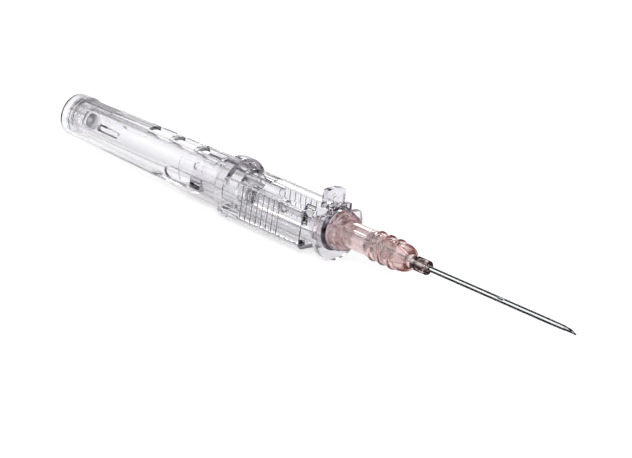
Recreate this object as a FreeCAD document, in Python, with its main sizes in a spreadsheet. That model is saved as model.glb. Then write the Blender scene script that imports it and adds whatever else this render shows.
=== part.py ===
import FreeCAD, Part
import math
import os

import Sketcher

os.makedirs("parts", exist_ok=True)
doc = FreeCAD.newDocument("iv_cannula")

# Driving sizes in millimetres.
# The long axis runs along X from the rear rim to the needle tip, with the push-off fin up, along Z.
SIZES = {
    # Shared fits, and how far a cutting outline reaches past the part
    "slide_clearance": 0.15,
    "bond_clearance": 0.02,
    "cut_reach": 12.0,
    # Housing: rear barrel
    "barrel_length": 47.8,
    "barrel_rear_radius": 4.45,
    "barrel_mid_radius": 5.0,
    "barrel_front_radius": 5.1,
    "barrel_taper_length": 28.0,
    "barrel_wall": 0.85,
    "rim_bore_length": 8.0,
    "rim_length": 3.2,
    "keel_drop": 0.5,
    "keel_flare_length": 8.0,
    "opening_spread": 1.0,
    "roof_length": 2.6,
    "roof_way_half_width": 2.8,
    "side_window_rear": 11.5,
    "side_window_length": 6.5,
    "side_window_height": 1.1,
    "side_window_rise": 1.0,
    "keyway_rear": 32.7,
    "keyway_height": 2.9,
    "keyway_drop": 1.5,
    "keyway_depth": 0.7,
    # Housing: collar hoop and ribbed grip trough
    "collar_length": 2.3,
    "collar_radius": 5.8,
    "collar_wall": 0.85,
    "collar_depth": 5.6,
    "collar_foot_half_width": 3.7,
    "hoop_way_half_width": 3.15,
    "hoop_way_top_half_width": 2.0,
    "grip_length": 21.3,
    "grip_half_width": 5.5,
    "grip_depth": 5.0,
    "grip_wall": 1.0,
    "grip_edge_height": 2.65,
    "grip_corner_radius": 1.2,
    "grip_inner_corner": 0.5,
    "grip_rib_count": 8,
    "grip_rib_pitch": 1.42,
    "grip_rib_width": 0.5,
    "grip_rib_height": 0.28,
    "grip_rib_front": 5.9,
    "skirt_length": 1.7,
    "skirt_step": 0.35,
    "skirt_taper": 38.0,
    # Needle support: flash chamber, flange and stem in one moulding
    "support_setback": 1.4,
    "support_flange_length": 1.2,
    "chamber_radius": 2.85,
    "chamber_wall": 0.7,
    "chamber_length": 51.5,
    "chamber_front_wall": 1.6,
    "stem_cone_length": 2.5,
    "stem_radius": 1.25,
    "stem_length": 7.0,
    "glue_cup_radius": 0.85,
    "glue_cup_depth": 1.2,
    # Vented plug and its filter disc
    "plug_head_radius": 2.5,
    "plug_head_length": 0.5,
    "plug_length": 4.2,
    "plug_ring_radius": 1.75,
    "plug_ring_width": 0.3,
    "plug_ring_depth": 0.25,
    "vent_radius": 0.45,
    "filter_radius": 1.45,
    "filter_thickness": 0.8,
    # Needle
    "needle_radius": 0.4,
    "needle_wall": 0.1,
    "bevel_length": 2.5,
    "lancet_length": 1.1,
    "point_half_width": 0.025,
    "needle_lead": 2.95,
    "notch_from_tip": 18.35,
    "notch_length": 1.3,
    "notch_depth": 0.24,
    # Needle guard: tube, tail, flange and push-off fin
    "guard_radius": 4.35,
    "guard_wall": 0.7,
    "guard_tube_length": 38.95,
    "guard_neck_length": 3.55,
    "guard_rear_cut_length": 10.0,
    "guard_rear_cut_slope": 0.61,
    "flange_radius": 6.05,
    "flange_length": 1.3,
    "flange_top": 3.0,
    "flange_bridge_height": 4.8,
    "tail_length": 24.0,
    "tail_angle": 60.0,
    "tongue_length": 8.5,
    "tongue_half_width": 1.2,
    "hoop_width": 1.0,
    "hoop_pitch": 7.3,
    "hoop_window_half_width": 1.65,
    "hoop_window_count": 5,
    "side_port_length": 5.8,
    "side_port_width": 0.8,
    "side_port_offset": 2.7,
    "front_port_length": 2.4,
    "key_length": 2.8,
    "key_height": 2.4,
    "key_setback": 4.2,
    "key_proud": 0.55,
    "fin_setback": 0.6,
    "fin_thickness": 1.35,
    "fin_height": 7.05,
    "fin_crown": 0.45,
    "fin_top_half_width": 2.4,
    "fin_foot_half_width": 2.45,
    "fin_dish_radius": 1.4,
    "fin_dish_depth": 0.22,
    "fin_dish_height": 5.2,
    "fin_boss_radius": 0.75,
    # Guard nose: the plug in the tube's front that carries the catheter on a six percent taper
    "nose_disc_length": 1.5,
    "nose_ring_radius": 3.4,
    "nose_ring_length": 0.35,
    "nose_length": 8.0,
    "nose_way_radius": 0.6,
    # Catheter hub, measured forward from its mouth
    "hub_gap": 0.05,
    "taper_mouth_radius": 2.135,
    "taper_fall": 0.03,
    "taper_clearance": 0.03,
    "mouth_flange_radius": 3.9,
    "mouth_flange_length": 0.85,
    "mouth_groove_radius": 3.2,
    "mouth_groove_length": 0.7,
    "second_flange_radius": 3.55,
    "second_flange_length": 0.5,
    "hub_neck_radius": 2.5,
    "hub_neck_length": 6.15,
    "hub_belly_radius": 2.65,
    "hub_belly_length": 7.0,
    "hub_rib_radius": 2.95,
    "hub_rib_width": 0.9,
    "hub_rib_pitch": 2.42,
    "hub_rib_count": 3,
    "hub_rib_lead": 1.35,
    "dome_straight": 0.8,
    "dome_length": 2.35,
    "hub_nose_radius": 1.36,
    "hub_nose_length": 4.0,
    "socket_length": 8.3,
    "valve_bore_radius": 1.8,
    "septum_seat_depth": 0.27,
    "front_cavity_radius": 1.7,
    "front_cavity_length": 3.3,
    # Blood valve
    "actuator_gap": 0.35,
    "actuator_flange_length": 0.8,
    "actuator_body_radius": 1.0,
    "actuator_length": 2.5,
    "actuator_tip_radius": 0.75,
    "actuator_bore_radius": 0.55,
    "septum_thickness": 1.2,
    "valve_clearance": 0.06,
    # Catheter tube and the steel wedge that holds it
    "catheter_radius": 0.55,
    "catheter_wall": 0.13,
    "catheter_length": 32.3,
    "catheter_tip_taper": 3.4,
    "catheter_tip_wall": 0.05,
    "tip_hold_length": 0.6,
    "wedge_wall": 0.1,
    "wedge_expansion": 0.16,
    "wedge_length": 3.2,
    "wedge_lip_length": 0.45,
    "wedge_lip_flare": 0.35,
    "wedge_lip_clearance": 0.06,
}

sheet = doc.addObject("Spreadsheet::Sheet", "Sizes")
for row, (name, number) in enumerate(SIZES.items(), start=1):
    sheet.set(f"A{row}", name)
    sheet.set(f"B{row}", str(number))
    sheet.setAlias(f"B{row}", name)
doc.recompute()


class Size:
    """A length that carries its number and the sheet formula that gives it."""

    def __init__(self, number, formula):
        self.number = number
        self.formula = formula

    def __add__(self, other):
        other = as_size(other)
        return Size(self.number + other.number, f"({self.formula} + {other.formula})")

    def __sub__(self, other):
        other = as_size(other)
        return Size(self.number - other.number, f"({self.formula} - {other.formula})")

    def __mul__(self, other):
        other = as_size(other)
        return Size(self.number * other.number, f"({self.formula} * {other.formula})")

    def __truediv__(self, other):
        other = as_size(other)
        return Size(self.number / other.number, f"({self.formula} / {other.formula})")

    def __neg__(self):
        return Size(-self.number, f"(-1 * {self.formula})")


def as_size(value):
    return value if isinstance(value, Size) else Size(float(value), repr(float(value)))


class Sheet:
    """Gives each named size of the sheet as a Size."""

    def __getattr__(self, name):
        return Size(SIZES[name], f"Sizes.{name}")


S = Sheet()
ZERO = as_size(0)

# Places along the axis, from the rear rim
collar_rear = S.barrel_length
collar_front = collar_rear + S.collar_length
grip_front = collar_front + S.grip_length
guard_face = grip_front + S.guard_neck_length
guard_rear = guard_face - S.guard_tube_length
flange_front = guard_face + S.flange_length
nose_ring_front = flange_front + S.nose_ring_length
hub_mouth = nose_ring_front + S.hub_gap
hub_neck_rear = hub_mouth + S.mouth_flange_length + S.mouth_groove_length + S.second_flange_length
belly_rear = hub_neck_rear + S.hub_neck_length
belly_front = belly_rear + S.hub_belly_length
dome_front = belly_front + S.dome_straight + S.dome_length
hub_tip = dome_front + S.hub_nose_length
catheter_tip = hub_tip + S.catheter_length
needle_tip = catheter_tip + S.needle_lead
support_flange_front = S.support_setback + S.support_flange_length
bore_radius = S.guard_radius + S.slide_clearance


def body(label):
    """A new body whose own X axis is the long axis, set down on the table."""
    item = doc.addObject("PartDesign::Body", label)
    item.Label = label
    item.setExpression("Placement.Base.x", f"-0.5 * {needle_tip.formula}")
    item.setExpression("Placement.Base.z", "Sizes.flange_radius")
    return item


def origin_item(owner, role):
    for item in owner.Origin.OriginFeatures:
        if item.Role == role:
            return item
    raise ValueError(role)


def sketch(owner, name, plane, at=None):
    """An empty sketch on one of the body's own planes, moved along its normal by a size."""
    item = owner.newObject("Sketcher::SketchObject", name)
    item.AttachmentSupport = [(origin_item(owner, plane), "")]
    item.MapMode = "FlatFace"
    if at is not None:
        item.setExpression("AttachmentOffset.Base.z", at.formula)
    return item


def tie(item, kind, places, size):
    """Adds a dimension and ties it to its formula."""
    index = item.addConstraint(Sketcher.Constraint(kind, *places, size.number))
    item.setExpression(f"Constraints[{index}]", size.formula)


def point(across, up):
    return FreeCAD.Vector(across.number, up.number, 0)


def outline(owner, name, plane, corners, at=None):
    """A closed outline of straight runs, with both places of each corner tied to the sheet."""
    item = sketch(owner, name, plane, at)
    corners = [(as_size(across), as_size(up)) for across, up in corners]
    count = len(corners)
    for index in range(count):
        start = point(*corners[index])
        end = point(*corners[(index + 1) % count])
        item.addGeometry(Part.LineSegment(start, end), False)
    for index in range(count):
        item.addConstraint(Sketcher.Constraint("Coincident", index, 2, (index + 1) % count, 1))
    for index, (across, up) in enumerate(corners):
        tie(item, "DistanceX", (-1, 1, index, 1), across)
        tie(item, "DistanceY", (-1, 1, index, 1), up)
    return item


def round_outline(owner, name, plane, radius, at=None, across=ZERO, up=ZERO):
    """A circle tied to the sheet."""
    item = sketch(owner, name, plane, at)
    item.addGeometry(Part.Circle(point(across, up), FreeCAD.Vector(0, 0, 1), radius.number), False)
    tie(item, "DistanceX", (-1, 1, 0, 3), across)
    tie(item, "DistanceY", (-1, 1, 0, 3), up)
    tie(item, "Radius", (0,), radius)
    return item


def trough_outline(owner, name, half_width, top, depth, corner, at):
    """A U with rounded lower corners, open side up, closed by a straight top line."""
    item = sketch(owner, name, "YZ_Plane", at)
    side = half_width.number
    low = -depth.number
    bend = corner.number
    up = FreeCAD.Vector(0, 0, 1)
    left_centre = FreeCAD.Vector(bend - side, low + bend, 0)
    right_centre = FreeCAD.Vector(side - bend, low + bend, 0)
    left_arc = Part.ArcOfCircle(Part.Circle(left_centre, up, bend), math.pi, 1.5 * math.pi)
    right_arc = Part.ArcOfCircle(Part.Circle(right_centre, up, bend), 1.5 * math.pi, 2 * math.pi)
    top_left = FreeCAD.Vector(-side, top.number, 0)
    top_right = FreeCAD.Vector(side, top.number, 0)
    item.addGeometry(Part.LineSegment(top_left, FreeCAD.Vector(-side, low + bend, 0)), False)
    item.addGeometry(left_arc, False)
    item.addGeometry(
        Part.LineSegment(FreeCAD.Vector(bend - side, low, 0), FreeCAD.Vector(side - bend, low, 0)),
        False,
    )
    item.addGeometry(right_arc, False)
    item.addGeometry(Part.LineSegment(FreeCAD.Vector(side, low + bend, 0), top_right), False)
    item.addGeometry(Part.LineSegment(top_right, top_left), False)
    item.addConstraint(Sketcher.Constraint("Tangent", 0, 2, 1, 1))
    item.addConstraint(Sketcher.Constraint("Tangent", 1, 2, 2, 1))
    item.addConstraint(Sketcher.Constraint("Tangent", 2, 2, 3, 1))
    item.addConstraint(Sketcher.Constraint("Tangent", 3, 2, 4, 1))
    item.addConstraint(Sketcher.Constraint("Coincident", 4, 2, 5, 1))
    item.addConstraint(Sketcher.Constraint("Coincident", 5, 2, 0, 1))
    item.addConstraint(Sketcher.Constraint("Vertical", 0))
    item.addConstraint(Sketcher.Constraint("Vertical", 4))
    item.addConstraint(Sketcher.Constraint("Horizontal", 2))
    tie(item, "DistanceX", (-1, 1, 0, 1), -half_width)
    tie(item, "DistanceX", (-1, 1, 4, 2), half_width)
    tie(item, "DistanceY", (-1, 1, 0, 1), top)
    tie(item, "DistanceY", (-1, 1, 4, 2), top)
    tie(item, "DistanceY", (-1, 1, 2, 1), -depth)
    tie(item, "Radius", (1,), corner)
    tie(item, "Radius", (3,), corner)
    return item


def feature(owner, kind, name, profile):
    item = owner.newObject(f"PartDesign::{kind}", name)
    item.Profile = profile
    profile.Visibility = False
    return item


def turn(owner, name, profile, kind="Revolution", angle=None):
    """Turns a profile about the long axis, all round or by an angle centred on its plane."""
    item = feature(owner, kind, name, profile)
    item.ReferenceAxis = (origin_item(owner, "X_Axis"), [""])
    if angle is None:
        item.Angle = 360
    else:
        item.Midplane = True
        item.setExpression("Angle", angle.formula)
    doc.recompute()
    return item


def extrude(owner, name, profile, length, kind="Pad", both_ways=False, reverse=False, taper=None):
    """Pads or pockets a profile by a tied length."""
    item = feature(owner, kind, name, profile)
    item.setExpression("Length", length.formula)
    if both_ways:
        item.SideType = "Symmetric"
    item.Reversed = reverse
    if taper is not None:
        item.setExpression("TaperAngle", f"-1 * {taper.formula}")
    doc.recompute()
    return item


def cut_checked(owner, make):
    """Makes a cut and stops if it took nothing away."""
    before = owner.Shape.Volume
    item = make()
    doc.recompute()
    if owner.Shape.Volume >= before - 1e-6:
        raise ValueError(f"{item.Name} cuts nothing")
    return item


def groove(owner, name, corners, plane="XZ_Plane"):
    profile = outline(owner, name + "_profile", plane, corners)
    return cut_checked(owner, lambda: turn(owner, name, profile, "Groove"))


def pocket(owner, name, profile, length, both_ways=False, reverse=False):
    return cut_checked(
        owner, lambda: extrude(owner, name, profile, length, "Pocket", both_ways, reverse)
    )


def row_of(owner, name, original, count, pitch, forward=True):
    """Repeats a feature along the long axis."""
    item = owner.newObject("PartDesign::LinearPattern", name)
    item.Originals = [original]
    item.Direction = (origin_item(owner, "X_Axis"), [""])
    item.Reversed = not forward
    item.setExpression("Occurrences", count.formula)
    item.setExpression("Length", f"{pitch.formula} * ({count.formula} - 1)")
    owner.Tip = item
    doc.recompute()
    return item


def mirrored(owner, name, original):
    """Repeats a feature on the other side of the middle plane."""
    item = owner.newObject("PartDesign::Mirrored", name)
    item.Originals = [original]
    item.MirrorPlane = (origin_item(owner, "XZ_Plane"), [""])
    owner.Tip = item
    doc.recompute()
    return item


# Needle housing: one clear moulding of rear barrel, collar hoop and ribbed grip trough
housing = body("needle_housing")
barrel_shell = outline(housing, "barrel_profile", "XZ_Plane", [
    (0, 0),
    (0, S.barrel_rear_radius),
    (S.rim_length, S.barrel_rear_radius),
    (S.barrel_taper_length, S.barrel_mid_radius),
    (collar_rear, S.barrel_front_radius),
    (collar_front, S.barrel_front_radius),
    (collar_front, 0),
])
turn(housing, "barrel", barrel_shell)

# The keel is the barrel's flare towards the deeper grip, turned about a line a little lower
keel_profile = outline(housing, "keel_profile", "XZ_Plane", [
    (S.barrel_taper_length, 0),
    (S.barrel_taper_length, -(S.barrel_mid_radius - S.keel_drop)),
    (S.barrel_taper_length + S.keel_flare_length, -S.barrel_front_radius),
    (collar_front, -S.barrel_front_radius),
    (collar_front, 0),
])
keel_profile.setExpression("AttachmentOffset.Base.y", f"-1 * {S.keel_drop.formula}")
keel = feature(housing, "Revolution", "keel", keel_profile)
keel.ReferenceAxis = (keel_profile, ["H_Axis"])
keel.Angle = 360
doc.recompute()

collar_disc = round_outline(housing, "collar_disc", "YZ_Plane", S.collar_radius, at=collar_rear)
extrude(housing, "collar_hoop", collar_disc, S.collar_length)
collar_foot = outline(housing, "collar_foot_outline", "YZ_Plane", [
    (-S.collar_radius, 0),
    (-S.collar_foot_half_width, -S.collar_depth),
    (S.collar_foot_half_width, -S.collar_depth),
    (S.collar_radius, 0),
], at=collar_rear)
extrude(housing, "collar_foot", collar_foot, S.collar_length)

grip_block = trough_outline(
    housing, "grip_outline", S.grip_half_width, S.grip_edge_height, S.grip_depth,
    S.grip_corner_radius, collar_front,
)
extrude(housing, "grip", grip_block, S.grip_length)

rib_side = S.grip_half_width + S.grip_rib_height
rib_foot = S.grip_depth - S.grip_corner_radius
rib_outline = outline(housing, "rib_outline", "YZ_Plane", [
    (-rib_side, -rib_foot),
    (rib_side, -rib_foot),
    (rib_side, S.grip_edge_height),
    (-rib_side, S.grip_edge_height),
], at=grip_front - S.grip_rib_front - S.grip_rib_width)
grip_rib = extrude(housing, "grip_rib", rib_outline, S.grip_rib_width)
row_of(housing, "grip_ribs", grip_rib, S.grip_rib_count, S.grip_rib_pitch, forward=False)

skirt_outline = trough_outline(
    housing, "skirt_outline", S.grip_half_width - S.skirt_step, S.grip_edge_height - S.skirt_step,
    S.grip_depth - S.skirt_step, S.grip_corner_radius - S.skirt_step, grip_front,
)
extrude(housing, "skirt", skirt_outline, S.skirt_length, taper=S.skirt_taper)

# The bore opens to the guard's running size at the keyways and runs on through the grip's floor
rim_bore = S.barrel_rear_radius - S.barrel_wall
grip_hollow_front = grip_front + S.skirt_length * 2
groove(housing, "bore", [
    (0, 0),
    (0, rim_bore),
    (S.rim_bore_length, rim_bore),
    (S.keyway_rear, bore_radius),
    (grip_hollow_front, bore_radius),
    (grip_hollow_front, 0),
])

# The grip's hollow leaves an even wall and is open along its top
grip_hollow = trough_outline(
    housing, "grip_hollow_outline", S.grip_half_width - S.grip_wall, S.cut_reach,
    S.grip_depth - S.grip_wall, S.grip_inner_corner, collar_front,
)
pocket(housing, "grip_hollow", grip_hollow, S.grip_length + S.skirt_length * 2, reverse=True)

# The upper hoop stands clear of the guard that runs under it
hoop_way = outline(housing, "hoop_way_outline", "YZ_Plane", [
    (-S.hoop_way_half_width, 0),
    (S.hoop_way_half_width, 0),
    (S.hoop_way_half_width, S.hoop_way_half_width),
    (S.hoop_way_top_half_width, S.collar_radius - S.collar_wall),
    (-S.hoop_way_top_half_width, S.collar_radius - S.collar_wall),
    (-S.hoop_way_half_width, S.hoop_way_half_width),
], at=collar_rear)
pocket(housing, "hoop_way", hoop_way, S.collar_length, reverse=True)

# The barrel is open along its top, from the rear rim to just behind the collar
roof_rear = collar_rear - S.roof_length
opening = outline(housing, "opening_outline", "YZ_Plane", [
    (0, 0),
    (S.cut_reach * S.opening_spread, S.cut_reach),
    (-(S.cut_reach * S.opening_spread), S.cut_reach),
], at=S.rim_length)
pocket(housing, "top_opening", opening, roof_rear - S.rim_length, reverse=True)
roof_way = outline(housing, "roof_way_outline", "YZ_Plane", [
    (-S.roof_way_half_width, 0),
    (S.roof_way_half_width, 0),
    (S.roof_way_half_width, S.cut_reach),
    (-S.roof_way_half_width, S.cut_reach),
], at=roof_rear)
pocket(housing, "roof_way", roof_way, S.roof_length, reverse=True)


def slot_outline(owner, name, rear, length, height, middle):
    """A slot with round ends in the middle plane."""
    item = sketch(owner, name, "XZ_Plane")
    half = height / 2
    rear_centre = rear + half
    front_centre = rear + length - half
    up = FreeCAD.Vector(0, 0, 1)
    rear_circle = Part.Circle(point(rear_centre, middle), up, half.number)
    front_circle = Part.Circle(point(front_centre, middle), up, half.number)
    item.addGeometry(Part.ArcOfCircle(rear_circle, 0.5 * math.pi, 1.5 * math.pi), False)
    item.addGeometry(
        Part.LineSegment(point(rear_centre, middle - half), point(front_centre, middle - half)), False
    )
    item.addGeometry(Part.ArcOfCircle(front_circle, -0.5 * math.pi, 0.5 * math.pi), False)
    item.addGeometry(
        Part.LineSegment(point(front_centre, middle + half), point(rear_centre, middle + half)), False
    )
    item.addConstraint(Sketcher.Constraint("Tangent", 0, 2, 1, 1))
    item.addConstraint(Sketcher.Constraint("Tangent", 1, 2, 2, 1))
    item.addConstraint(Sketcher.Constraint("Tangent", 2, 2, 3, 1))
    item.addConstraint(Sketcher.Constraint("Tangent", 3, 2, 0, 1))
    tie(item, "DistanceX", (-1, 1, 0, 3), rear_centre)
    tie(item, "DistanceY", (-1, 1, 0, 3), middle)
    tie(item, "DistanceX", (-1, 1, 2, 3), front_centre)
    tie(item, "DistanceY", (-1, 1, 2, 3), middle)
    tie(item, "Radius", (0,), half)
    return item


side_window = slot_outline(
    housing, "side_window_outline", S.side_window_rear, S.side_window_length,
    S.side_window_height, S.side_window_rise,
)
pocket(housing, "side_windows", side_window, S.cut_reach, both_ways=True)
keyway_through = slot_outline(
    housing, "keyway_outline", S.keyway_rear, collar_rear - S.keyway_rear, S.keyway_height,
    -S.keyway_drop,
)
pocket(housing, "keyways", keyway_through, S.cut_reach, both_ways=True)
keyway_low = -(S.keyway_drop + S.keyway_height / 2)
keyway_high = S.keyway_height / 2 - S.keyway_drop
keyway_groove = outline(housing, "keyway_groove_outline", "XZ_Plane", [
    (collar_rear - S.keyway_height, keyway_low),
    (grip_hollow_front, keyway_low),
    (grip_hollow_front, keyway_high),
    (collar_rear - S.keyway_height, keyway_high),
])
pocket(
    housing, "keyway_grooves", keyway_groove, (bore_radius + S.keyway_depth) * 2, both_ways=True
)

# Needle support: glued in the rim, with the flash chamber and the stem that grips the needle
support = body("needle_support")
chamber_front = S.support_setback + S.chamber_length
stem_rear = chamber_front + S.stem_cone_length
stem_front = stem_rear + S.stem_length
chamber_bore = S.chamber_radius - S.chamber_wall
needle_rear = chamber_front - S.chamber_front_wall
support_profile = outline(support, "support_profile", "XZ_Plane", [
    (S.support_setback, chamber_bore),
    (S.support_setback, rim_bore - S.bond_clearance),
    (support_flange_front, rim_bore - S.bond_clearance),
    (support_flange_front, S.chamber_radius),
    (chamber_front, S.chamber_radius),
    (stem_rear, S.stem_radius),
    (stem_front, S.stem_radius),
    (stem_front, S.glue_cup_radius),
    (stem_front - S.glue_cup_depth, S.glue_cup_radius),
    (stem_front - S.glue_cup_depth, S.needle_radius + S.bond_clearance),
    (needle_rear, S.needle_radius + S.bond_clearance),
    (needle_rear, chamber_bore),
])
turn(support, "support", support_profile)

# Vented plug: closes the chamber and holds the filter disc in its inner end
plug = body("flash_plug")
plug_rear = S.support_setback - S.plug_head_length
plug_front = S.support_setback + S.plug_length
plug_profile = outline(plug, "plug_profile", "XZ_Plane", [
    (plug_rear, S.vent_radius),
    (plug_rear, S.plug_ring_radius),
    (plug_rear + S.plug_ring_depth, S.plug_ring_radius),
    (plug_rear + S.plug_ring_depth, S.plug_ring_radius + S.plug_ring_width),
    (plug_rear, S.plug_ring_radius + S.plug_ring_width),
    (plug_rear, S.plug_head_radius),
    (S.support_setback, S.plug_head_radius),
    (S.support_setback, chamber_bore - S.bond_clearance),
    (plug_front, chamber_bore - S.bond_clearance),
    (plug_front, S.filter_radius + S.bond_clearance),
    (plug_front - S.filter_thickness, S.filter_radius + S.bond_clearance),
    (plug_front - S.filter_thickness, S.vent_radius),
])
turn(plug, "plug", plug_profile)

filter_disc = body("vent_filter")
filter_outline = round_outline(
    filter_disc, "filter_outline", "YZ_Plane", S.filter_radius, at=plug_front - S.filter_thickness
)
extrude(filter_disc, "filter", filter_outline, S.filter_thickness)

# Needle: drawn steel tube with a bevel that opens upwards, two lancet grinds and a flash notch
needle = body("needle")
needle_profile = outline(needle, "needle_profile", "XZ_Plane", [
    (needle_rear, S.needle_radius - S.needle_wall),
    (needle_rear, S.needle_radius),
    (needle_tip, S.needle_radius),
    (needle_tip, S.needle_radius - S.needle_wall),
])
turn(needle, "tube", needle_profile)
bevel_run = S.needle_wall * S.bevel_length / (S.needle_radius * 2)
bevel = outline(needle, "bevel_outline", "XZ_Plane", [
    (needle_tip - S.bevel_length - bevel_run, S.needle_radius + S.needle_wall),
    (needle_tip + bevel_run, -(S.needle_radius + S.needle_wall)),
    (needle_tip + bevel_run, S.needle_radius + S.needle_wall),
])
pocket(needle, "bevel", bevel, S.needle_radius * 4, both_ways=True)
lancet_run = S.needle_wall * S.lancet_length / (S.needle_radius - S.point_half_width)
lancet = outline(needle, "lancet_outline", "XY_Plane", [
    (needle_tip - S.lancet_length - lancet_run, S.needle_radius + S.needle_wall),
    (needle_tip + lancet_run, S.point_half_width - S.needle_wall),
    (needle_tip + lancet_run, S.needle_radius + S.needle_wall),
], at=-(S.needle_radius * 2))
lancet_cut = pocket(needle, "lancet", lancet, S.needle_radius * 4, reverse=True)
mirrored(needle, "lancet_other_side", lancet_cut)
notch_rear = needle_tip - S.notch_from_tip
notch_front = notch_rear + S.notch_length
notch_slope = S.notch_depth + S.needle_wall
notch = outline(needle, "notch_outline", "XZ_Plane", [
    (notch_rear, S.needle_radius - S.notch_depth),
    (notch_front, S.needle_radius - S.notch_depth),
    (notch_front + notch_slope, S.needle_radius + S.needle_wall),
    (notch_rear - notch_slope, S.needle_radius + S.needle_wall),
])
pocket(needle, "flash_notch", notch, S.needle_radius * 4, both_ways=True)

# Needle guard: clear tube with a laddered tail, a flange and the push-off fin
guard = body("needle_guard")
guard_outer = outline(guard, "guard_profile", "XZ_Plane", [
    (guard_rear, 0),
    (guard_rear, S.guard_radius),
    (guard_face, S.guard_radius),
    (guard_face, S.flange_radius),
    (flange_front, S.flange_radius),
    (flange_front, 0),
])
turn(guard, "tube_and_flange", guard_outer)
flange_trim = outline(guard, "flange_trim_outline", "YZ_Plane", [
    (S.fin_foot_half_width, S.flange_top),
    (S.cut_reach, S.flange_top),
    (S.cut_reach, S.cut_reach),
    (-S.cut_reach, S.cut_reach),
    (-S.cut_reach, S.flange_top),
    (-S.fin_foot_half_width, S.flange_top),
    (-S.fin_foot_half_width, S.flange_bridge_height),
    (S.fin_foot_half_width, S.flange_bridge_height),
], at=guard_face)
pocket(guard, "flange_trim", flange_trim, S.flange_length, reverse=True)

fin_front = guard_face - S.fin_setback
fin_outline = sketch(guard, "fin_outline", "YZ_Plane", fin_front - S.fin_thickness)
fin_top_left = point(-S.fin_top_half_width, S.fin_height)
fin_top_right = point(S.fin_top_half_width, S.fin_height)
fin_top_middle = point(ZERO, S.fin_height + S.fin_crown)
fin_foot = S.flange_top - S.guard_wall / 2
fin_foot_left = point(-S.fin_foot_half_width, fin_foot)
fin_foot_right = point(S.fin_foot_half_width, fin_foot)
fin_crest = Part.Arc(fin_top_right, fin_top_middle, fin_top_left)
fin_outline.addGeometry(Part.LineSegment(fin_foot_left, fin_foot_right), False)
fin_outline.addGeometry(Part.LineSegment(fin_foot_right, fin_top_right), False)
fin_outline.addGeometry(fin_crest, False)
fin_outline.addGeometry(Part.LineSegment(fin_top_left, fin_foot_left), False)
fin_outline.addConstraint(Sketcher.Constraint("Coincident", 0, 2, 1, 1))
fin_outline.addConstraint(Sketcher.Constraint("Coincident", 1, 2, 2, 1))
fin_outline.addConstraint(Sketcher.Constraint("Coincident", 2, 2, 3, 1))
fin_outline.addConstraint(Sketcher.Constraint("Coincident", 3, 2, 0, 1))
tie(fin_outline, "DistanceX", (-1, 1, 0, 1), -S.fin_foot_half_width)
tie(fin_outline, "DistanceX", (-1, 1, 0, 2), S.fin_foot_half_width)
tie(fin_outline, "DistanceY", (-1, 1, 0, 1), fin_foot)
tie(fin_outline, "DistanceY", (-1, 1, 0, 2), fin_foot)
tie(fin_outline, "DistanceX", (-1, 1, 1, 2), S.fin_top_half_width)
tie(fin_outline, "DistanceY", (-1, 1, 1, 2), S.fin_height)
tie(fin_outline, "DistanceX", (-1, 1, 3, 1), -S.fin_top_half_width)
tie(fin_outline, "DistanceY", (-1, 1, 3, 1), S.fin_height)
crest_radius = (S.fin_top_half_width * S.fin_top_half_width / S.fin_crown + S.fin_crown) / 2
tie(fin_outline, "Radius", (2,), crest_radius)
extrude(guard, "push_off_fin", fin_outline, S.fin_thickness)

dish = round_outline(
    guard, "fin_dish_outline", "YZ_Plane", S.fin_dish_radius, at=fin_front, up=S.fin_dish_height
)
pocket(guard, "fin_dish", dish, S.fin_dish_depth)
boss = round_outline(
    guard, "fin_boss_outline", "YZ_Plane", S.fin_boss_radius, at=fin_front, up=S.fin_dish_height
)
extrude(guard, "fin_boss", boss, S.fin_dish_depth * 2, reverse=True)

# Guide keys stand out of the tube's sides and run in the housing's keyways
key_rear = guard_rear + S.key_setback
key_outline = outline(guard, "key_outline", "XZ_Plane", [
    (key_rear, -(S.keyway_drop + S.key_height / 2)),
    (key_rear + S.key_length, -(S.keyway_drop + S.key_height / 2)),
    (key_rear + S.key_length, S.key_height / 2 - S.keyway_drop),
    (key_rear, S.key_height / 2 - S.keyway_drop),
])
extrude(guard, "keys", key_outline, (S.guard_radius + S.key_proud) * 2, both_ways=True)

# The tube's hollow, open at the rear, and the seat of the nose at its front
guard_inner = S.guard_radius - S.guard_wall
groove(guard, "hollow", [
    (guard_rear, 0),
    (guard_rear, guard_inner),
    (flange_front, guard_inner),
    (flange_front, 0),
])

# The tube's rear end is open beside the tail
rear_cut = outline(guard, "rear_cut_outline", "YZ_Plane", [
    (0, 0),
    (S.cut_reach, S.cut_reach * S.guard_rear_cut_slope),
    (S.cut_reach, S.cut_reach),
    (-S.cut_reach, S.cut_reach),
    (-S.cut_reach, S.cut_reach * S.guard_rear_cut_slope),
], at=guard_rear)
pocket(guard, "rear_cut", rear_cut, S.guard_rear_cut_length, reverse=True)

tail_rear = guard_rear - S.tail_length
tail_profile = outline(guard, "tail_profile", "XZ_Plane", [
    (tail_rear, guard_inner),
    (guard_rear + S.guard_rear_cut_length + S.hoop_width, guard_inner),
    (guard_rear + S.guard_rear_cut_length + S.hoop_width, S.guard_radius),
    (tail_rear, S.guard_radius),
])
turn(guard, "tail", tail_profile, angle=S.tail_angle)
tongue_outline = outline(guard, "tongue_outline", "YZ_Plane", [
    (-S.tongue_half_width, guard_inner),
    (S.tongue_half_width, guard_inner),
    (S.tongue_half_width, guard_inner + S.guard_wall / 2),
    (-S.tongue_half_width, guard_inner + S.guard_wall / 2),
], at=tail_rear - S.tongue_length)
extrude(guard, "tongue", tongue_outline, S.tongue_length + S.hoop_width)

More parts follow.
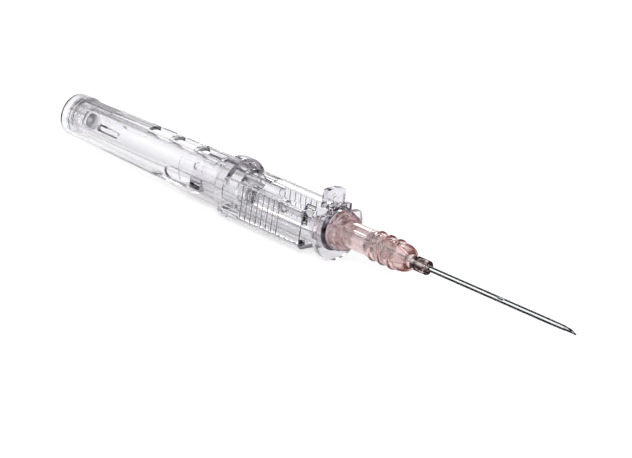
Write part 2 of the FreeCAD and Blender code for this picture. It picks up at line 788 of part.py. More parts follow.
# Windows between the hoops of the tail
first_window = guard_rear - S.hoop_pitch * 2 + S.hoop_width * 2
window_outline = outline(guard, "hoop_window_outline", "XY_Plane", [
    (first_window, -S.hoop_window_half_width),
    (first_window + S.hoop_pitch - S.hoop_width, -S.hoop_window_half_width),
    (first_window + S.hoop_pitch - S.hoop_width, S.hoop_window_half_width),
    (first_window, S.hoop_window_half_width),
], at=guard_inner / 2)
window = pocket(guard, "hoop_window", window_outline, S.guard_radius, reverse=True)
row_of(guard, "hoop_windows", window, S.hoop_window_count, S.hoop_pitch)

# Ports in the tube's shoulders, a long one at the last hoop and a short one behind the flange
port_rear = first_window + S.hoop_pitch * (S.hoop_window_count - 1)


def shoulder_port(name, rear, length):
    profile = outline(guard, name + "_outline", "XY_Plane", [
        (rear, S.side_port_offset),
        (rear + length, S.side_port_offset),
        (rear + length, S.side_port_offset + S.side_port_width),
        (rear, S.side_port_offset + S.side_port_width),
    ], at=S.guard_wall)
    port = pocket(guard, name, profile, S.guard_radius, reverse=True)
    return mirrored(guard, name + "_other_side", port)


shoulder_port("long_port", port_rear, S.side_port_length)
short_port_front = fin_front - S.fin_thickness - S.guard_wall
shoulder_port("short_port", short_port_front - S.front_port_length, S.front_port_length)

# Guard nose: pressed into the front of the tube, with the taper that the catheter hub sits on
nose = body("guard_nose")
taper_root = S.taper_mouth_radius - S.taper_clearance
nose_tip = hub_mouth + S.nose_length
nose_profile = outline(nose, "nose_profile", "XZ_Plane", [
    (flange_front - S.nose_disc_length, S.nose_way_radius),
    (flange_front - S.nose_disc_length, guard_inner - S.bond_clearance),
    (flange_front, guard_inner - S.bond_clearance),
    (flange_front, S.nose_ring_radius),
    (nose_ring_front, S.nose_ring_radius),
    (nose_ring_front, taper_root),
    (hub_mouth, taper_root),
    (nose_tip, taper_root - S.nose_length * S.taper_fall),
    (nose_tip, S.nose_way_radius),
])
turn(nose, "nose", nose_profile)

# Catheter hub: pink moulding with mouth flange, ribbed belly, dome and nose
hub = body("catheter_hub")
flange_end = hub_mouth + S.mouth_flange_length
second_flange_rear = flange_end + S.mouth_groove_length
socket_front = hub_mouth + S.socket_length
septum_rear = socket_front + S.actuator_gap + S.actuator_length + S.valve_clearance
septum_front = septum_rear + S.septum_thickness
septum_seat_radius = S.valve_bore_radius + S.septum_seat_depth
cavity_front = septum_front + S.front_cavity_length
sleeve_radius = S.catheter_radius + S.wedge_expansion
lip_radius = sleeve_radius + S.wedge_lip_flare
wedge_rear = hub_tip - S.tip_hold_length - S.wedge_length
sleeve_rear = wedge_rear + S.wedge_lip_length
hub_profile = outline(hub, "hub_profile", "XZ_Plane", [
    (hub_mouth, 0),
    (hub_mouth, S.mouth_flange_radius),
    (flange_end, S.mouth_flange_radius),
    (flange_end, S.mouth_groove_radius),
    (second_flange_rear, S.mouth_groove_radius),
    (second_flange_rear, S.second_flange_radius),
    (hub_neck_rear, S.second_flange_radius),
    (hub_neck_rear, S.hub_neck_radius),
    (belly_rear, S.hub_neck_radius),
    (belly_rear, S.hub_belly_radius),
    (belly_front + S.dome_straight, S.hub_belly_radius),
    (dome_front, S.hub_nose_radius),
    (hub_tip, S.hub_nose_radius),
    (hub_tip, 0),
])
turn(hub, "hub_outside", hub_profile)
first_rib = belly_rear + S.hub_rib_lead
hub_rib_profile = outline(hub, "hub_rib_profile", "XZ_Plane", [
    (first_rib - S.hub_rib_width / 2, S.valve_bore_radius),
    (first_rib - S.hub_rib_width / 2, S.hub_rib_radius),
    (first_rib + S.hub_rib_width / 2, S.hub_rib_radius),
    (first_rib + S.hub_rib_width / 2, S.valve_bore_radius),
])
hub_rib = turn(hub, "hub_rib", hub_rib_profile)
row_of(hub, "hub_ribs", hub_rib, S.hub_rib_count, S.hub_rib_pitch)
groove(hub, "hub_inside", [
    (hub_mouth, 0),
    (hub_mouth, S.taper_mouth_radius),
    (socket_front, S.taper_mouth_radius - S.socket_length * S.taper_fall),
    (socket_front, S.valve_bore_radius),
    (septum_rear, S.valve_bore_radius),
    (septum_rear, septum_seat_radius),
    (septum_front, septum_seat_radius),
    (septum_front, S.front_cavity_radius),
    (cavity_front, S.front_cavity_radius),
    (wedge_rear, lip_radius + S.wedge_lip_clearance),
    (sleeve_rear, sleeve_radius + S.bond_clearance),
    (hub_tip - S.tip_hold_length, sleeve_radius + S.bond_clearance),
    (hub_tip - S.tip_hold_length, S.catheter_radius + S.bond_clearance),
    (hub_tip, S.catheter_radius + S.bond_clearance),
    (hub_tip, 0),
])

# Valve septum: slit silicone disc in its groove, with the needle through it
septum = body("valve_septum")
septum_profile = outline(septum, "septum_profile", "XZ_Plane", [
    (septum_rear + S.bond_clearance, S.needle_radius + S.bond_clearance),
    (septum_rear + S.bond_clearance, septum_seat_radius - S.bond_clearance),
    (septum_front - S.bond_clearance, septum_seat_radius - S.bond_clearance),
    (septum_front - S.bond_clearance, S.needle_radius + S.bond_clearance),
])
turn(septum, "septum", septum_profile)

# Valve actuator: hollow plunger that a seated connector pushes through the septum
actuator = body("valve_actuator")
actuator_rear = socket_front + S.actuator_gap
actuator_front = actuator_rear + S.actuator_length
actuator_profile = outline(actuator, "actuator_profile", "XZ_Plane", [
    (actuator_rear, S.actuator_bore_radius),
    (actuator_rear, S.valve_bore_radius - S.valve_clearance),
    (actuator_rear + S.actuator_flange_length, S.valve_bore_radius - S.valve_clearance),
    (actuator_rear + S.actuator_flange_length, S.actuator_body_radius),
    (actuator_front - S.actuator_flange_length, S.actuator_body_radius),
    (actuator_front, S.actuator_tip_radius),
    (actuator_front, S.actuator_bore_radius),
])
turn(actuator, "actuator", actuator_profile)

# Catheter tube: its rear end is spread over the wedge, and its tip is drawn down on the needle
catheter = body("catheter_tube")
catheter_bore = S.catheter_radius - S.catheter_wall
wedge_outer = sleeve_radius - S.catheter_wall
spread_front = hub_tip - S.tip_hold_length - S.bond_clearance
catheter_profile = outline(catheter, "catheter_profile", "XZ_Plane", [
    (wedge_rear, lip_radius - S.catheter_wall),
    (wedge_rear, lip_radius),
    (sleeve_rear, sleeve_radius),
    (spread_front - S.wedge_expansion, sleeve_radius),
    (spread_front, S.catheter_radius),
    (catheter_tip - S.catheter_tip_taper, S.catheter_radius),
    (catheter_tip, S.needle_radius + S.bond_clearance + S.catheter_tip_wall),
    (catheter_tip, S.needle_radius + S.bond_clearance),
    (catheter_tip - S.catheter_tip_taper, catheter_bore),
    (spread_front, catheter_bore),
    (spread_front - S.wedge_expansion, wedge_outer),
    (sleeve_rear, wedge_outer),
])
turn(catheter, "catheter", catheter_profile)

# Steel wedge: the flared eyelet that jams the tube's end in the hub's nose
wedge = body("catheter_wedge")
wedge_front = spread_front - S.wedge_expansion * 2
wedge_profile = outline(wedge, "wedge_profile", "XZ_Plane", [
    (wedge_rear, lip_radius - S.catheter_wall - S.bond_clearance - S.wedge_wall),
    (wedge_rear, lip_radius - S.catheter_wall - S.bond_clearance),
    (sleeve_rear, wedge_outer - S.bond_clearance),
    (wedge_front, wedge_outer - S.bond_clearance),
    (wedge_front, wedge_outer - S.bond_clearance - S.wedge_wall),
    (sleeve_rear, wedge_outer - S.bond_clearance - S.wedge_wall),
])
turn(wedge, "wedge", wedge_profile)

# Everything is checked before any file is written
doc.recompute()
bodies = [item for item in doc.Objects if item.TypeId == "PartDesign::Body"]
faults = [item.Name for item in doc.Objects if {"Invalid", "Error"} & set(item.State)]
for item in bodies:
    if item.Shape.isNull() or not item.Shape.isValid() or len(item.Shape.Solids) != 1:
        faults.append(f"{item.Label} shape, {len(item.Shape.Solids)} solids")
if faults:
    raise RuntimeError("not built: " + ", ".join(faults))
for item in bodies:
    box = item.Shape.BoundBox
    print(f"{item.Label:16s} {item.Shape.Volume:9.2f} mm3  x {box.XMin:7.2f} to {box.XMax:7.2f}"
          f"  y {box.YMin:6.2f} to {box.YMax:6.2f}  z {box.ZMin:6.2f} to {box.ZMax:6.2f}")
    item.Shape.exportStep(f"parts/{item.Label}.step")
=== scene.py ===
# %% [markdown]
# # An intravenous cannula with a sliding needle guard
#
# The object is a steel needle inside a snug catheter. A pink hub holds the catheter. A clear tube, the needle
# guard, pushes both off the needle and then covers its point. A clear housing holds the needle and the guard.
#
# Nearly everything is clear plastic, so what the eye reads is not a colour. It reads the edges, where each wall
# bends the white background into grey lines. The geometry therefore has to have real walls, inside and outside.
# The solids of the frame have them, so they stay, and this script dresses them.

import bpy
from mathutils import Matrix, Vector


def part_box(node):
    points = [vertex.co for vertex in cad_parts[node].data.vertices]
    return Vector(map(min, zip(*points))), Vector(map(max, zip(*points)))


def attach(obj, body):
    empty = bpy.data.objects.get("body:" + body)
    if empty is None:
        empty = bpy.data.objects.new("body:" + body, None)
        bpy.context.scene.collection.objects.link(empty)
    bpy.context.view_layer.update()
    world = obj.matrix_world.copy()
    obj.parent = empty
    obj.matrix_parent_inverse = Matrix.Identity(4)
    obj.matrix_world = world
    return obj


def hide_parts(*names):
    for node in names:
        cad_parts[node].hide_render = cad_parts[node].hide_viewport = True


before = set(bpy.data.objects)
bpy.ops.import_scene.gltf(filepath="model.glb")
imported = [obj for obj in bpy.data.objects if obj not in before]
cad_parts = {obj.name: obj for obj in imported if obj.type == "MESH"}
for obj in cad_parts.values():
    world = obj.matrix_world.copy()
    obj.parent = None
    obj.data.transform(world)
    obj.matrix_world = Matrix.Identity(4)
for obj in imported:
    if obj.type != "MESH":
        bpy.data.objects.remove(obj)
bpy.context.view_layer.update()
print("nodes:", ", ".join(sorted(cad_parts)))

# %% [markdown]
# Blender counts in metres, as the frame does. The sizes of such a small object read better in millimetres, so
# each one below is written as a number of them.

# %% Modules and units
import math

import bmesh
import bpy
from mathutils import Matrix, Vector

MM = 0.001

# %% [markdown]
# The rear rim is at the low X end and the needle's point at the high X end. The axis of every round piece lies on
# the middle plane at one height, so three values place everything that this script adds.

# %% Where the axis lies
rear_rim_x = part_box("needle_housing")[0][0]
needle_tip_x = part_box("needle")[1][0]
axis_z = (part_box("needle")[0][2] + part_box("needle")[1][2]) / 2
print(f"axis at z = {axis_z / MM:.2f} mm, overall {(needle_tip_x - rear_rim_x) / MM:.2f} mm")

# %% [markdown]
# ## Camera
#
# The photograph looks along the object from the needle's side, a little from above, with a long lens, because
# the rear rim is hardly smaller than the flange. The numbers come from fitting one camera to the places of the
# rim, the collar, the flange, the hub and the point. The object falls to the lower right, so the camera rolls.

# %% Camera
camera_azimuth = math.radians(42.61)
camera_elevation = math.radians(17.47)
camera_roll = math.radians(8.43)
camera_distance = 484.8 * MM
camera_lens = 146.9
aim_right = 1.99 * MM
aim_up = -2.76 * MM

back = Vector((
    math.sin(camera_azimuth) * math.cos(camera_elevation),
    -math.cos(camera_azimuth) * math.cos(camera_elevation),
    math.sin(camera_elevation),
))
level_right = Vector((math.cos(camera_azimuth), math.sin(camera_azimuth), 0))
level_up = back.cross(level_right)
right = level_right * math.cos(camera_roll) + level_up * math.sin(camera_roll)
up = level_up * math.cos(camera_roll) - level_right * math.sin(camera_roll)
place = Vector((0, 0, axis_z)) + right * aim_right + up * aim_up + back * camera_distance

camera_data = bpy.data.cameras.new("camera")
camera_data.lens = camera_lens
camera_data.sensor_width = 36
camera_data.clip_start = 0.01
camera = bpy.data.objects.new("camera", camera_data)
camera.matrix_world = Matrix.Translation(place) @ Matrix((right, up, back)).transposed().to_4x4()
bpy.context.collection.objects.link(camera)
bpy.context.scene.camera = camera
print("camera at", [round(value, 4) for value in place])

# %% [markdown]
# ## Colours and nodes
#
# Colours are written as the hex values that a picture editor shows. A renderer adds light in linear values, so
# one function converts them. Another adds a node, sets it and links it, and every material below is made of it.

# %% Colour and node helpers
def linear(hex_colour):
    """An sRGB hex value as linear RGBA."""
    def one(value):
        value /= 255
        return value / 12.92 if value <= 0.04045 else ((value + 0.055) / 1.055) ** 2.4
    return tuple(one(int(hex_colour[i:i + 2], 16)) for i in (1, 3, 5)) + (1.0,)


def add_node(tree, kind, settings=None, values=None, links=None):
    """Adds a node, sets its properties and its sockets, and links other nodes' outputs to it."""
    item = tree.nodes.new(kind)
    for name, value in (settings or {}).items():
        setattr(item, name, value)
    for name, value in (values or {}).items():
        item.inputs[name].default_value = value
    for name, output in (links or {}).items():
        tree.links.new(output, item.inputs[name])
    return item


def new_material(name):
    """An empty node material."""
    material = bpy.data.materials.new(name)
    material.use_nodes = True
    material.node_tree.nodes.clear()
    return material


def painted_edge_shade(tree, colour, edge_shade_colour, start):
    """Painted shade: turns a colour to the edge shade colour where the surface turns away from the eye."""
    turned = add_node(tree, "ShaderNodeLayerWeight", values={"Blend": 0.5})
    share = add_node(
        tree, "ShaderNodeMapRange", {"interpolation_type": "SMOOTHSTEP"},
        {"From Min": start, "From Max": 1.0},
        {"Value": turned.outputs["Facing"]},
    )
    mixed = add_node(tree, "ShaderNodeMix", {"data_type": "RGBA"}, links={"Factor": share.outputs["Result"]})
    tree.links.new(colour, mixed.inputs["A"])
    mixed.inputs["B"].default_value = linear(edge_shade_colour)
    return mixed.outputs["Result"]


print("white is", linear("#FFFFFF")[:3])

# %% [markdown]
# ## Clear polycarbonate
#
# The housing, the guard and its nose, the needle's support and the plug are injection moulded in clear
# polycarbonate. Its refractive index is 1.58, higher than acrylic or glass, so its edges are strong. The mould is
# polished, and the melt leaves very shallow waves some millimetres long that make reflections wobble.
#
# A thick path inside the plastic is a little grey, so the walls have a weak volume absorption. Across a wall it
# can't be seen, and along an edge it draws the grey line that shows where the part ends.
#
# A real part shows more of that grey than the absorption alone gives here, so two painted shades help it. One
# darkens surfaces that turn away from the eye, and so outlines each part. The other darkens walls that stand
# across the long axis: the grip's ribs, the collar's hoop and the cross arches of the tail. These read as lines
# because light runs a long way inside them.
#
# A mould isn't equally smooth all over, so a part may also have zones along the axis with a haze of their own.
# Each zone also has a tint, and in some zones that tint is painted shade. A mask finds each zone from the place of
# a point on the part.

# %% Zone mask
zone_border = 0.1


def inside_zone(tree, place, rear, front, low):
    """1 between two places along the axis and above a height, in mm, with soft borders, and 0 elsewhere."""
    borders = (
        ("X", rear - zone_border, rear + zone_border),
        ("X", front + zone_border, front - zone_border),
        ("Z", low - zone_border, low + zone_border),
    )
    inside = None
    for axis, start, end in borders:
        share = add_node(
            tree, "ShaderNodeMapRange",
            values={"From Min": start * MM, "From Max": end * MM},
            links={"Value": place.outputs[axis]},
        ).outputs["Result"]
        if inside is None:
            inside = share
            continue
        both = add_node(tree, "ShaderNodeMath", {"operation": "MULTIPLY"})
        tree.links.new(inside, both.inputs[0])
        tree.links.new(share, both.inputs[1])
        inside = both.outputs[0]
    return inside


print("zone borders fade over", 2 * zone_border, "mm")

# %% Clear polycarbonate
polycarbonate_index = 1.585
speckle_tint = "#EEECF0"


def clear_polycarbonate(name, haze, wave_mm, density, painted_cross_shade, zones=()):
    """Clear moulded plastic. A zone is its rear, front and lowest place in mm of the frame, its tint (painted shade
    for some zones) and haze.
    """
    material = new_material(name)
    tree = material.node_tree
    where = add_node(tree, "ShaderNodeTexCoord")
    wave = add_node(
        tree, "ShaderNodeTexNoise",
        values={"Scale": 1 / (wave_mm * MM), "Detail": 2.0, "Roughness": 0.4},
        links={"Vector": where.outputs["Object"]},
    )
    polish = add_node(
        tree, "ShaderNodeTexNoise",
        values={"Scale": 1 / (0.9 * MM), "Detail": 3.0},
        links={"Vector": where.outputs["Object"]},
    )
    roughness = add_node(
        tree, "ShaderNodeMapRange",
        values={"From Min": 0.3, "From Max": 0.7, "To Min": haze * 0.6, "To Max": haze * 1.6},
        links={"Value": polish.outputs["Fac"]},
    )
    tint = add_node(tree, "ShaderNodeMix", {"data_type": "RGBA"}, links={"Factor": wave.outputs["Fac"]})
    tint.inputs["A"].default_value = linear("#FDFDFE")
    tint.inputs["B"].default_value = linear("#FFFFFF")
    # Painted shade on walls that stand across the long axis, where light runs a long way inside.
    direction = add_node(tree, "ShaderNodeSeparateXYZ", links={"Vector": where.outputs["Normal"]})
    along = add_node(tree, "ShaderNodeMath", {"operation": "ABSOLUTE"})
    tree.links.new(direction.outputs["X"], along.inputs[0])
    cross_wall = add_node(
        tree, "ShaderNodeMapRange", values={"From Min": 0.8, "From Max": 0.95}, links={"Value": along.outputs[0]},
    )
    crossed = add_node(tree, "ShaderNodeMix", {"data_type": "RGBA"}, links={"Factor": cross_wall.outputs["Result"]})
    tree.links.new(tint.outputs["Result"], crossed.inputs["A"])
    crossed.inputs["B"].default_value = linear(painted_cross_shade)
    colour = crossed.outputs["Result"]
    blur = roughness.outputs["Result"]
    place = add_node(tree, "ShaderNodeSeparateXYZ", links={"Vector": where.outputs["Object"]})
    for rear, front, low, zone_tint_and_shade, zone_haze in zones:
        inside = inside_zone(tree, place, rear, front, low)
        speckled = add_node(tree, "ShaderNodeMix", {"data_type": "RGBA"}, links={"Factor": polish.outputs["Fac"]})
        speckled.inputs["A"].default_value = linear(zone_tint_and_shade)
        speckled.inputs["B"].default_value = linear(speckle_tint)
        mixed_colour = add_node(tree, "ShaderNodeMix", {"data_type": "RGBA"}, links={"Factor": inside})
        tree.links.new(colour, mixed_colour.inputs["A"])
        tree.links.new(speckled.outputs["Result"], mixed_colour.inputs["B"])
        colour = mixed_colour.outputs["Result"]
        mixed_blur = add_node(tree, "ShaderNodeMix", {"data_type": "FLOAT"}, links={"Factor": inside})
        tree.links.new(blur, mixed_blur.inputs["A"])
        mixed_blur.inputs["B"].default_value = zone_haze
        blur = mixed_blur.outputs["Result"]
    # Painted shade that outlines the part where its surface turns away from the eye.
    colour = painted_edge_shade(tree, colour, "#706A71", 0.5)
    bump = add_node(
        tree, "ShaderNodeBump",
        values={"Strength": 0.25, "Distance": 0.02 * MM},
        links={"Height": wave.outputs["Fac"]},
    )
    shader = add_node(
        tree, "ShaderNodeBsdfPrincipled",
        values={"IOR": polycarbonate_index, "Transmission Weight": 1.0},
        links={"Base Color": colour, "Roughness": blur, "Normal": bump.outputs["Normal"]},
    )
    absorption = add_node(
        tree, "ShaderNodeVolumeAbsorption",
        values={"Color": linear("#8A7F93"), "Density": density},
    )
    add_node(
        tree, "ShaderNodeOutputMaterial",
        links={"Surface": shader.outputs["BSDF"], "Volume": absorption.outputs["Volume"]},
    )
    return material


print("polycarbonate index:", polycarbonate_index)

# %% [markdown]
# The housing has two fine dark rings in its rear rim, at the lip and just in front of it, and both are painted
# shade. The guard's tail ends in a tongue that is tinted dark and made hazy, so it shows as a dark frosted bar. The
# guard's keys, flange and fin are thin and bright, and the fin is a little hazy. The parts inside keep only a pale
# painted cross shade, because they are seen through another wall already.
#
# A zone starts and ends at places along the axis, in mm from the middle of the object. It reaches down to a height
# in mm over the table, and the axis is about 6 mm up.

# %% Clear parts
whole_height = -1.0
tongue_height = 8.0
fin_height = 9.8
housing_clear = clear_polycarbonate(
    "polycarbonate_moulded_clear", 0.02, 6.0, 30.0, "#9A959C",
    zones=(
        # Two rings of painted shade in the rear rim: the lip and the step just in front of it.
        (-66.95, -66.7, whole_height, "#2E2A36", 0.05),
        (-65.95, -65.7, whole_height, "#6A6672", 0.05),
    ),
)
guard_clear = clear_polycarbonate(
    "polycarbonate_guard_clear", 0.03, 4.0, 60.0, "#8A858C",
    zones=(
        (-63.7, -55.0, tongue_height, "#3E364A", 0.25),
        (-27.2, -23.9, whole_height, "#F6F5F7", 0.04),
        (5.5, 9.3, whole_height, "#F2F1F3", 0.05),
        (5.5, 9.3, fin_height, "#DCD9DD", 0.06),
    ),
)
inner_clear = clear_polycarbonate("polycarbonate_inner_clear", 0.05, 3.0, 15.0, "#D6D2D7")
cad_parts["needle_housing"].material_slots[0].material = housing_clear
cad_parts["needle_guard"].material_slots[0].material = guard_clear
for name in ("needle_support", "flash_plug", "guard_nose"):
    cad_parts[name].material_slots[0].material = inner_clear
print("clear parts dressed")

# %% [markdown]
# ## Drawn stainless steel
#
# The needle is a tube drawn through a die and then polished, so fine lines run along it. They are about 0.02 mm
# apart, too fine to show here, and are drawn about 0.1 mm apart. The lines stretch highlights round the tube.
#
# The wedge that jams the catheter in the hub is rolled from thin strip. It isn't polished, so its finish is satin
# and paler.

# %% Drawn stainless steel
def stainless_steel(name, dark, light, smooth, rough):
    material = new_material(name)
    tree = material.node_tree
    where = add_node(tree, "ShaderNodeTexCoord")
    along = add_node(
        tree, "ShaderNodeMapping",
        values={"Scale": (0.04, 1.0, 1.0)},
        links={"Vector": where.outputs["Object"]},
    )
    lines = add_node(
        tree, "ShaderNodeTexNoise",
        values={"Scale": 1 / (0.1 * MM), "Detail": 3.0},
        links={"Vector": along.outputs["Vector"]},
    )
    tone = add_node(tree, "ShaderNodeMix", {"data_type": "RGBA"}, links={"Factor": lines.outputs["Fac"]})
    tone.inputs["A"].default_value = linear(dark)
    tone.inputs["B"].default_value = linear(light)
    roughness = add_node(
        tree, "ShaderNodeMapRange",
        values={"To Min": smooth, "To Max": rough},
        links={"Value": lines.outputs["Fac"]},
    )
    bump = add_node(
        tree, "ShaderNodeBump",
        values={"Strength": 0.15, "Distance": 0.004 * MM},
        links={"Height": lines.outputs["Fac"]},
    )
    shader = add_node(
        tree, "ShaderNodeBsdfPrincipled",
        values={"Metallic": 1.0},
        links={
            "Base Color": tone.outputs["Result"],
            "Roughness": roughness.outputs["Result"],
            "Normal": bump.outputs["Normal"],
        },
    )
    add_node(tree, "ShaderNodeOutputMaterial", links={"Surface": shader.outputs["BSDF"]})
    return material


drawn_steel = stainless_steel("steel_drawn_polished", "#C6C7CA", "#E2E3E5", 0.07, 0.16)
rolled_steel = stainless_steel("steel_rolled_satin", "#E4E4E6", "#F4F4F5", 0.35, 0.5)
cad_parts["needle"].material_slots[0].material = drawn_steel
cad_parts["catheter_wedge"].material_slots[0].material = rolled_steel
print("steel parts dressed")

# %% [markdown]
# ## Catheter, septum and filter
#
# The catheter is an extruded fluoropolymer, clear and soft, with a low index of 1.35, and its surface is glossy.
# Its wall is only 0.13 mm, so without the needle no more than its two dark edges show. They are painted shade
# from the same edge shade as in the clear plastic, and start nearer to the middle because the tube is so thin.
#
# The septum is moulded silicone, milky, with an index of 1.41. The valve's plunger is plain polypropylene, 1.49.
# The filter is sintered polyethylene powder, white and grainy, with grains of about 0.15 mm that are just coarse
# enough to draw at their real size. Most of it is pores, so its index as a whole is little more than that of air.

# %% Catheter tube
def clear_fluoropolymer(name):
    material = new_material(name)
    tree = material.node_tree
    where = add_node(tree, "ShaderNodeTexCoord")
    draw = add_node(
        tree, "ShaderNodeTexNoise",
        values={"Scale": 1 / (1.5 * MM), "Detail": 2.0},
        links={"Vector": where.outputs["Object"]},
    )
    tint = add_node(tree, "ShaderNodeMix", {"data_type": "RGBA"}, links={"Factor": draw.outputs["Fac"]})
    tint.inputs["A"].default_value = linear("#F7F8F8")
    tint.inputs["B"].default_value = linear("#FFFFFF")
    bump = add_node(
        tree, "ShaderNodeBump",
        values={"Strength": 0.1, "Distance": 0.004 * MM},
        links={"Height": draw.outputs["Fac"]},
    )
    shader = add_node(
        tree, "ShaderNodeBsdfPrincipled",
        values={"IOR": 1.35, "Transmission Weight": 1.0, "Roughness": 0.04},
        links={
            # Painted shade along the tube's two edges, where its surface turns away from the eye.
            "Base Color": painted_edge_shade(tree, tint.outputs["Result"], "#2C2E32", 0.2),
            "Normal": bump.outputs["Normal"],
        },
    )
    add_node(tree, "ShaderNodeOutputMaterial", links={"Surface": shader.outputs["BSDF"]})
    return material


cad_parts["catheter_tube"].material_slots[0].material = clear_fluoropolymer("fluoropolymer_extruded_clear")
print("catheter dressed")


# %% Silicone and sintered polyethylene
def grainy(name, dark, light, grain_mm, roughness, transmission, depth_mm, index):
    material = new_material(name)
    tree = material.node_tree
    where = add_node(tree, "ShaderNodeTexCoord")
    grain = add_node(
        tree, "ShaderNodeTexNoise",
        values={"Scale": 1 / (grain_mm * MM), "Detail": 3.0},
        links={"Vector": where.outputs["Object"]},
    )
    tone = add_node(tree, "ShaderNodeMix", {"data_type": "RGBA"}, links={"Factor": grain.outputs["Fac"]})
    tone.inputs["A"].default_value = linear(dark)
    tone.inputs["B"].default_value = linear(light)
    bump = add_node(
        tree, "ShaderNodeBump",
        values={"Strength": 0.5, "Distance": depth_mm * MM},
        links={"Height": grain.outputs["Fac"]},
    )
    shader = add_node(
        tree, "ShaderNodeBsdfPrincipled",
        values={"IOR": index, "Roughness": roughness, "Transmission Weight": transmission},
        links={"Base Color": tone.outputs["Result"], "Normal": bump.outputs["Normal"]},
    )
    add_node(tree, "ShaderNodeOutputMaterial", links={"Surface": shader.outputs["BSDF"]})
    return material


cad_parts["valve_septum"].material_slots[0].material = grainy(
    "silicone_moulded_milky", "#FBF6F5", "#FFFFFF", 0.8, 0.3, 0.95, 0.01, 1.41,
)
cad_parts["vent_filter"].material_slots[0].material = grainy(
    "polyethylene_sintered_white", "#F8F8F8", "#FFFFFF", 0.15, 0.5, 0.75, 0.02, 1.08,
)
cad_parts["valve_actuator"].material_slots[0].material = grainy(
    "polypropylene_moulded_natural", "#FAFAF8", "#FFFFFF", 2.0, 0.15, 0.95, 0.01, 1.49,
)
print("small parts dressed")

# %% [markdown]
# ## Pink polypropylene
#
# The hub is moulded in tinted polypropylene. Its pink is the colour code of a 20 G catheter. It is clear enough
# to show the valve and the needle inside, and where it is thick the pink deepens, so the colour comes from a
# volume absorption. The surface itself is nearly white. Along its edges, where it turns away from the eye, a
# painted red-brown shade darkens it.

# %% Pink polypropylene
def pink_polypropylene(name):
    material = new_material(name)
    tree = material.node_tree
    where = add_node(tree, "ShaderNodeTexCoord")
    flow = add_node(
        tree, "ShaderNodeTexNoise",
        values={"Scale": 1 / (2.5 * MM), "Detail": 3.0},
        links={"Vector": where.outputs["Object"]},
    )
    tint = add_node(tree, "ShaderNodeMix", {"data_type": "RGBA"}, links={"Factor": flow.outputs["Fac"]})
    tint.inputs["A"].default_value = linear("#FAF2F1")
    tint.inputs["B"].default_value = linear("#FDF8F7")
    roughness = add_node(
        tree, "ShaderNodeMapRange",
        values={"To Min": 0.08, "To Max": 0.16},
        links={"Value": flow.outputs["Fac"]},
    )
    bump = add_node(
        tree, "ShaderNodeBump",
        values={"Strength": 0.2, "Distance": 0.015 * MM},
        links={"Height": flow.outputs["Fac"]},
    )
    shader = add_node(
        tree, "ShaderNodeBsdfPrincipled",
        values={"IOR": 1.49, "Transmission Weight": 1.0},
        links={
            # Painted red-brown shade where the surface turns away from the eye.
            "Base Color": painted_edge_shade(tree, tint.outputs["Result"], "#8A4A46", 0.45),
            "Roughness": roughness.outputs["Result"],
            "Normal": bump.outputs["Normal"],
        },
    )
    absorption = add_node(
        tree, "ShaderNodeVolumeAbsorption",
        values={"Color": linear("#CC8A82"), "Density": 260.0},
    )
    add_node(
        tree, "ShaderNodeOutputMaterial",
        links={"Surface": shader.outputs["BSDF"], "Volume": absorption.outputs["Volume"]},
    )
    return material


hub_pink = pink_polypropylene("polypropylene_moulded_pink")
print("pink mixed")

# %% [markdown]
# ## The hub's rounded form
#
# The solid of the frame has the hub's true sizes with square corners. The moulded one is soft: its ribs are round
# swellings, its dome is a quarter of an ellipse, and each corner has a small radius that catches the light. The
# hub is a body of revolution, so the natural way to make it is a lathe: an outline of length and radius, with
# its corners rounded first, is turned about the long axis. The bore is part of the same outline, so the wall is
# real and shows the needle and the valve through it.

# %% Outline and lathe
def rounded(corners, steps=4):
    """A closed outline of (along, radius) places, from corners that carry their own rounding, all in mm."""
    places = []
    for index, (along, radius, rounding) in enumerate(corners):
        here = Vector((along, radius))
        before = Vector(corners[index - 1][:2]) - here
        after = Vector(corners[(index + 1) % len(corners)][:2]) - here
        reach = min(rounding, before.length * 0.48, after.length * 0.48)
        if reach <= 0:
            places.append(here)
            continue
        start = here + before.normalized() * reach
        end = here + after.normalized() * reach
        for step in range(steps + 1):
            share = step / steps
            places.append(start * (1 - share) ** 2 + here * 2 * share * (1 - share) + end * share ** 2)
    return places


def quarter(start, end, steps=8):
    """Places on a quarter ellipse that leaves its start along the axis and meets its end square to it."""
    return [
        (
            start[0] + (end[0] - start[0]) * math.sin(step / steps * math.pi / 2),
            end[1] + (start[1] - end[1]) * math.cos(step / steps * math.pi / 2),
            0,
        )
        for step in range(steps + 1)
    ]


lathe_steps = 96


def lathe(name, places, start_x, steps=lathe_steps):
    """Turns a closed outline about the long axis, starting at start_x, and returns the new object."""
    shape = bmesh.new()
    rings = []
    for step in range(steps):
        angle = 2 * math.pi * step / steps
        rings.append([
            shape.verts.new((
                start_x + along * MM,
                radius * MM * math.cos(angle),
                axis_z + radius * MM * math.sin(angle),
            ))
            for along, radius in places
        ])
    for step, ring in enumerate(rings):
        following = rings[(step + 1) % steps]
        for index in range(len(places)):
            after = (index + 1) % len(places)
            shape.faces.new((ring[index], ring[after], following[after], following[index]))
    bmesh.ops.recalc_face_normals(shape, faces=shape.faces)
    for face in shape.faces:
        face.smooth = True
    mesh = bpy.data.meshes.new(name)
    shape.to_mesh(mesh)
    shape.free()
    piece = bpy.data.objects.new(name, mesh)
    bpy.context.collection.objects.link(piece)
    piece.modifiers.new("even_normals", "WEIGHTED_NORMAL")
    return piece


print("a quarter has", len(quarter((0, 1), (1, 0))), "places")

# %% [markdown]
# The hub's outline runs along the outside from its mouth to its nose and back through the bore. All its places are
# in mm from the mouth, with the rounding of each corner. The mouth has the lock fitting's flange and a second ring.
# The belly carries three ribs. Inside lie the catheter's seat, the front cavity, the groove that holds the septum,
# and the tapered socket, which narrows by six percent.

